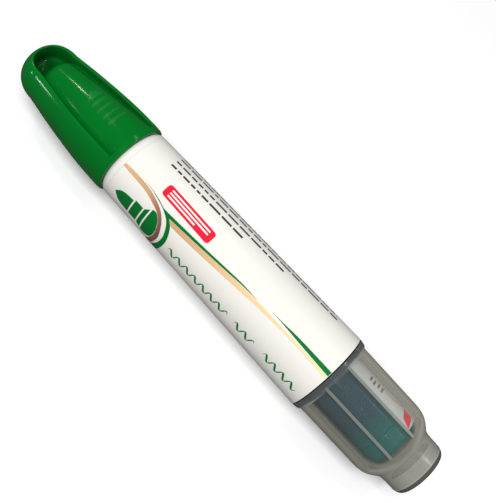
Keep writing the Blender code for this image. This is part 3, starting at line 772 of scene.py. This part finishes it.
def make_cartridge(stained, end_look, paper, ink_look, rubber, steel):
    """The ink cartridge, turned about the axis but for its ball, which lies at the bottom."""
    tube = [(8.0, 3.0, 0.15), (8.0, 3.9, 0.2), (14.5, 3.9, 0.3), (15.7, 5.0, 0.5), (18.5, 7.3, 0.8),
            (51.4, 7.3, 0.1), (51.4, 6.4), (18.9, 6.4, 0.5), (16.1, 4.1, 0.4), (14.5, 3.0, 0.3)]
    lathe("cartridge_body", tube, stained, "cartridge_tube", ["cartridge_tube"], steps=96)
    end = [(X_CARTRIDGE_END, 0.0), (X_CARTRIDGE_END, 6.6, 0.8), (55.2, 7.29, 0.6), (51.42, 7.3, 0.03),
           (51.42, 6.1), (49.4, 6.1, 0.1), (49.4, 5.3, 0.1), (55.0, 5.3, 0.4), (55.0, 0.0)]
    lathe("cartridge_end", end, end_look, "cartridge_end_plug", ["cartridge_end_plug"], steps=96)
    lathe("ink_fill", [(23.0, 0.0), (23.0, 6.1, 0.4), (49.1, 6.1, 0.2), (49.1, 0.0)], ink_look,
          "cartridge_ink", ["cartridge_ink"], steps=64)
    lathe("mouth_seal", [(8.5, 1.9, 0.15), (8.5, 2.7, 0.1), (10.4, 2.7, 0.1), (10.4, 1.9, 0.15)], rubber,
          "cartridge_seal", ["cartridge_seal"], steps=64)
    ball = [(19.3, 0.0)] + [(20.9 - 1.6 * math.cos(a), 1.6 * math.sin(a))
                            for a in (math.pi * i / 24 for i in range(1, 24))] + [(22.5, 0.0)]
    made = lathe("loose_ball", ball, steel, "stopper_ball", ["stopper_ball"], steps=48)
    made.data.transform(Matrix.Translation((0, 0, -4.3 * MM)))
    make_sticker(paper)


def make_sticker(paper):
    """The cartridge's paper label with a few plain grey bars, a curved line and a red corner patch."""
    on_tube = {"radius": lambda x: R_STICKER, "node": "cartridge_sticker", "middle": 0.0}
    outline = patch([(STICKER_START, STICKER_FROM), (STICKER_END, STICKER_FROM)],
                    [(STICKER_START, STICKER_TO), (STICKER_END, STICKER_TO)], 24, 72)
    sheet = print_ink("cartridge_paper", [outline], paper, **on_tube)
    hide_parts("cartridge_sticker")
    on_paper = dict(on_tube, radius=lambda x: R_STICKER + PRINT_LIFT + PRINT_THICKNESS)
    grey = printed("print_grey", [(0.0, (0.12, 0.13, 0.12)), (1.0, (0.15, 0.16, 0.15))])
    red = printed("print_dull_red", [(0.0, (0.55, 0.05, 0.06)), (1.0, (0.62, 0.06, 0.07))])
    bars = [patch([(x, start), (x + 0.5, start)], [(x, start + 12), (x + 0.5, start + 12)], 2, 12)
            for x, start in ((41.4, 21), (42.5, 19), (43.7, 22), (44.8, 20))]
    print_ink("sticker_bars", bars, grey, **on_paper)
    print_ink("sticker_red_patch", [patch([(52.1, 17), (54.4, 8)], [(51.2, 40), (53.7, 36)], 8, 16)], red,
              **on_paper)
    x_middle, azimuth_middle = 47.6, 44
    outer, inner = ([(x_middle + length * math.cos(a), azimuth_middle - rise * math.sin(a))
                     for a in (math.pi * i / 12 for i in range(13))]
                    for length, rise in ((3.2, 14), (3.2 * 0.94, 14 * 0.9)))
    print_ink("sticker_curve", [patch(outer, inner, 36, 2)], red, **on_paper)


# ---------------------------------------------------------------- inside: writing end

def make_writing_end(white, clear, fibre, wick, steel, rubber):
    """The sealing cup, nib, holder, wick, feed, socket and hollow point, from front to back."""
    front_wall = X_BARREL_FRONT + FRONT_WALL
    cup = [(-57.6, 0.0), (-57.6, 2.4, 0.4), (-55.6, 3.95, 0.8), (-51.0, 4.5, 0.5), (-40.0, 5.5, 0.5),
           (-31.6, 5.5, 0.2), (-31.6, 8.1, 0.12), (-31.2, 8.1, 0.12), (-31.2, 4.8, 0.15),
           (-40.5, 4.8, 0.5), (-51.0, 3.8, 0.5), (-55.2, 3.25, 0.6), (-56.8, 2.2, 0.3), (-56.8, 0.0)]
    lathe("seal_cup", cup, white, "inner_cap", ["inner_cap"], steps=96)
    nib = [(-56.0, 0.0), (-55.98, 0.45), (-55.85, 0.95, 0.2), (-55.45, 1.35, 0.3), (-54.6, 1.8, 0.5),
           (-53.2, 2.1, 0.6), (-34.0, 2.1, 0.1), (-34.0, 0.0)]
    lathe("round_nib", nib, fibre, "bullet_nib", ["bullet_nib"], steps=64, sharp_deg=60.0)
    nose = [(-49.2, 2.4, 0.12), (-49.2, 2.75, 0.2), (-48.7, 3.15, 0.25), (-42.0, 4.35, 0.4),
            (-41.0, 4.5, 0.3), (X_BARREL_FRONT, 4.5, 0.1), (X_BARREL_FRONT, 5.1, 0.1),
            (front_wall + 0.3, 5.1), (front_wall + 0.3, 7.3, 0.1), (front_wall + 1.7, 7.3, 0.1),
            (front_wall + 1.7, 6.6), (-14.0, 6.6, 0.1), (-14.0, 5.3, 0.1), (-26.5, 5.3, 0.3),
            (-27.2, 2.4, 0.2)]
    lathe("nib_nose", nose, white, "nib_holder", ["nib_holder"], steps=96)
    lathe("wick_rod", [(-33.7, 0.0), (-33.7, 0.8, 0.1), (12.2, 0.8, 0.1), (12.2, 0.0)], wick, "ink_wick",
          ["ink_wick"], steps=48)
    comb = [(-19.0, 1.1), (-19.0, 4.9, 0.1), (-13.7, 4.9), (-13.7, 6.55, 0.1), (-12.9, 6.55, 0.1),
            (-12.9, 2.6)]
    for i in range(9):
        x = -12.0 + 1.7 * i
        comb += [(x, 2.6), (x, 6.5, 0.12), (x + 0.7, 6.5, 0.12), (x + 0.7, 2.6)]
    lathe("finned_feed", comb + [(4.1, 2.6), (4.1, 1.1)], white, "feed_comb", ["feed_comb"], steps=64)
    lathe("feed_tube", [(-13.6, 6.85, 0.1), (-13.6, 7.4, 0.1), (4.1, 7.4, 0.1), (4.1, 6.85, 0.1)], clear,
          "feed_housing", ["feed_housing"], steps=64)
    seat = [(4.4, 1.9, 0.1), (4.4, 7.4, 0.15), (6.4, 7.4, 0.15), (7.0, 6.4, 0.2), (13.6, 6.4, 0.2),
            (13.6, 5.2, 0.2), (7.0, 5.2, 0.3), (7.0, 1.9, 0.1)]
    lathe("socket_seat", seat, white, "cartridge_socket", ["cartridge_socket"], steps=64)
    spike = [(4.6, 1.1), (4.6, 1.6, 0.1), (11.6, 1.6, 0.3), (12.6, 1.22, 0.05), (12.6, 1.1)]
    lathe("hollow_spike", spike, steel, "ink_spike", ["ink_spike"], steps=48)
    angles = [math.pi * i / 10 for i in range(20)]
    ring = [(11.9 + 0.42 * math.cos(a), 4.55 + 0.42 * math.sin(a)) for a in angles]
    lathe("seal_ring", ring, rubber, "socket_o_ring", ["socket_o_ring"], steps=64, sharp_deg=80.0)


# ---------------------------------------------------------------- stage

def add_light(name, azimuth, lean, distance, size, power):
    """Area light aimed at the pen's middle: azimuth about the pen's axis, lean toward the tail."""
    a, b = math.radians(azimuth), math.radians(lean)
    toward = Vector((math.sin(b), math.cos(b) * math.sin(a), math.cos(b) * math.cos(a)))
    lamp = bpy.data.lights.new(name, "AREA")
    lamp.shape = "RECTANGLE"
    lamp.size, lamp.size_y = size
    lamp.energy = power
    made = bpy.data.objects.new(name, lamp)
    bpy.context.scene.collection.objects.link(made)
    made.location = Vector((0, 0, AXIS_Z)) + toward * distance
    side = Vector((1, 0, 0)) - toward * toward.x
    across = toward.cross(side).normalized()
    turn = Matrix((side.normalized(), across, toward)).transposed()
    made.rotation_mode = "QUATERNION"
    made.rotation_quaternion = turn.to_quaternion()
    return made


FLOOR_HALF, FLOOR_DROP = 3.0, 0.0002


def make_floor():
    """A wide pale floor just under the pen, hidden from mirrored and bounced light."""
    look, tree, shader = new_material("floor_paper")
    shade = noise(tree, 40.0, 3.0)
    tree.links.new(ramp(tree, shade, [(0.3, (0.93, 0.93, 0.93)), (0.7, (0.95, 0.95, 0.95))]),
                   shader.inputs["Base Color"])
    shader.inputs["Roughness"].default_value = 0.9
    shader.inputs["Specular IOR Level"].default_value = 0.1
    bm = bmesh.new()
    bmesh.ops.create_grid(bm, x_segments=1, y_segments=1, size=FLOOR_HALF)
    mesh = bpy.data.meshes.new("floor")
    bm.to_mesh(mesh)
    bm.free()
    mesh.materials.append(look)
    floor = bpy.data.objects.new("floor", mesh)
    floor.location.z = -FLOOR_DROP
    bpy.context.scene.collection.objects.link(floor)
    floor.visible_glossy = False
    floor.visible_diffuse = False


def make_lights():
    """A soft overhead box, a dim sky and a few small lamps whose reflections show as thin streaks."""
    world = bpy.data.worlds.new("studio")
    world.use_nodes = True
    tree = world.node_tree
    sky = tree.nodes["Background"]
    rays = add_node(tree, "ShaderNodeLightPath")
    dim = span(tree, rays.outputs["Is Glossy Ray"], 0.0, 1.0, 0.30, 0.07)
    backdrop = span(tree, rays.outputs["Is Camera Ray"], 0.0, 1.0, 0.0, 0.85)
    strength = add_node(tree, "ShaderNodeMath", {0: dim, 1: backdrop}, operation="MAXIMUM").outputs[0]
    tree.links.new(strength, sky.inputs["Strength"])
    sky.inputs["Color"].default_value = (1.0, 1.0, 1.0, 1.0)
    bpy.context.scene.world = world
    box = add_light("softbox", -22.0, 3.0, 0.75, (0.55, 0.45), 5.6)
    box.visible_glossy = False
    lamps = (("lamp_nose", 12.0, -45.5, (0.04, 0.012), 0.14),
             ("lamp_side", -80.0, -44.0, (0.03, 0.012), 0.06),
             ("lamp_label", 24.0, -11.0, (0.12, 0.05), 0.06),
             ("lamp_tail", 19.7, 23.3, (0.03, 0.008), 0.14),
             ("lamp_front", -29.3, 11.8, (0.02, 0.012), 0.03))
    for name, azimuth, lean, size, power in lamps:
        add_light(name, azimuth, lean, 0.50, size, power)
    bpy.context.scene.view_settings.view_transform = "Standard"


def make_camera():
    """Looks down at the pen, rolled so that the pen runs from upper left to lower right."""
    aim_x, aim_side, distance = 2.9, 5.43, 158.5
    tilt, roll, spin_cos, spin_sin = 4.0, 28.0, 0.6796, 0.7336
    focal_px, image_px = 700.0, 503.0
    turn, lean = math.radians(roll), math.radians(tilt)
    outward = Vector((0, -math.sin(turn), math.cos(turn)))
    sideways = Vector((0, math.cos(turn), math.sin(turn)))
    axis = Vector((1, 0, 0))
    aim = Vector((aim_x, 0, AXIS_Z / MM))
    place = aim + (axis * math.sin(lean) + outward * math.cos(lean)) * distance
    look_at = aim + sideways * aim_side
    back = (place - look_at).normalized()
    along = axis * math.cos(lean) - outward * math.sin(lean)
    right = along * spin_cos + sideways * spin_sin
    up = back.cross(right).normalized()
    right = up.cross(back).normalized()
    data = bpy.data.cameras.new("camera")
    data.sensor_width = 36.0
    data.lens = focal_px * data.sensor_width / image_px
    data.clip_start, data.clip_end = 0.01, 10.0
    camera = bpy.data.objects.new("camera", data)
    bpy.context.scene.collection.objects.link(camera)
    camera.matrix_world = Matrix.Translation(place * MM) @ Matrix((right, up, back)).transposed().to_4x4()
    bpy.context.scene.camera = camera


# ---------------------------------------------------------------- build

def main():
    """Makes the looks, then every piece, then the stage."""
    white = plastic("white_moulding", (0.78, 0.77, 0.73), 0.3)
    inner_white = plastic("inner_moulding", (0.74, 0.74, 0.71), 0.42)
    green = plastic("green_moulding", (0.0, 0.152, 0.015), 0.14, spread=0.06, specular=0.3)
    # painted shade: the cap's green deepens toward the axis, standing in for the shade down in its end
    # pockets
    paint_axis_shade(green, 1.5, 6.0, 0.35)
    # painted light: the grip marks are the cap's own moulding, but their green is painted a little lighter,
    # standing in for the light the raised marks catch; their rougher finish is their own
    grip_painted_lighter = plastic("green_grip_painted_lighter", (0.004, 0.17, 0.024), 0.28, spread=0.05, specular=0.4)
    # painted shade: the shell's collar stations are painted dark slate, standing in for the dark that its
    # thick clear edge refracts
    smoke, collar_painted_shade, pearl = (0.36, 0.35, 0.29), (0.095, 0.105, 0.11), (0.27, 0.27, 0.24)
    smoke_stops = [(0.0, collar_painted_shade), (0.055, collar_painted_shade), (0.07, smoke), (0.72, smoke), (0.8, pearl)]
    veil = [(0.0, 0.6), (0.055, 0.6), (0.07, 0.0), (0.7, 0.0), (0.8, 0.65)]
    frosted = see_through("frosted_moulding", smoke_stops, 0.2, 0.025, 0.95, 0.004, veil)
    rib_stops = [(0.0, (0.22, 0.245, 0.23)), (1.0, (0.24, 0.26, 0.24))]
    rib_look = see_through("rib_moulding", rib_stops, 0.2, 0.7, 1.0)
    # painted shade and highlight: from x 63.2 mm on, the button's rounded end is painted near-black, standing
    # in for the dark that its clear edge reflects and refracts; the thin lighter stop just before it is a
    # painted highlight
    shade = (0.08, 0.08, 0.065)
    button_stops_painted_rim = [(0.0, pearl), (0.962, pearl), (0.968, tint(pearl, 1.5)), (0.973, shade), (1.0, shade)]
    plug_look = see_through("frosted_button", button_stops_painted_rim, 0.25, 0.8, 1.0, 0.001)
    clear_stops = [(0.0, (0.6, 0.65, 0.64)), (1.0, (0.6, 0.65, 0.64))]
    clear = see_through("clear_moulding", clear_stops, 0.15, 0.2, 0.6)
    tube_stops = [(0.0, (0.036, 0.066, 0.08)), (0.40, (0.036, 0.07, 0.082)), (0.58, (0.024, 0.105, 0.098))]
    stained = see_through("stained_tube", tube_stops, 0.15, 0.92, 1.0)
    end_stops = [(0.0, (0.024, 0.105, 0.098)), (1.0, (0.026, 0.11, 0.10))]
    end_look = see_through("stained_end", end_stops, 0.2, 0.9, 1.0)
    fibre = plastic("inked_fibre", (0.008, 0.08, 0.03), 0.85, grain=14000.0, bump=0.6, spread=0.3)
    wick = plastic("wick_fibre", (0.01, 0.09, 0.04), 0.8, grain=12000.0, bump=0.5, spread=0.2)
    ink_look = plastic("green_ink", (0.004, 0.035, 0.03), 0.08, bump=0.0)
    rubber = plastic("black_rubber", (0.02, 0.02, 0.02), 0.6, grain=7000.0, bump=0.15)
    steel = plastic("drawn_steel", (0.6, 0.6, 0.6), 0.25, bump=0.05)
    steel.node_tree.nodes["Principled BSDF"].inputs["Metallic"].default_value = 1.0
    paper = plastic("sticker_paper", (0.46, 0.47, 0.44), 0.6, grain=6000.0, bump=0.15)

    make_cap(green, grip_painted_lighter)
    make_barrel(white, label_film())
    green_ink = make_art()
    make_small_print()
    make_badge()
    make_flourish(green_ink)
    make_tail(frosted, rib_look, plug_look, white)
    make_cartridge(stained, end_look, paper, ink_look, rubber, steel)
    make_writing_end(inner_white, clear, fibre, wick, steel, rubber)
    make_floor()
    make_lights()
    make_camera()


main()
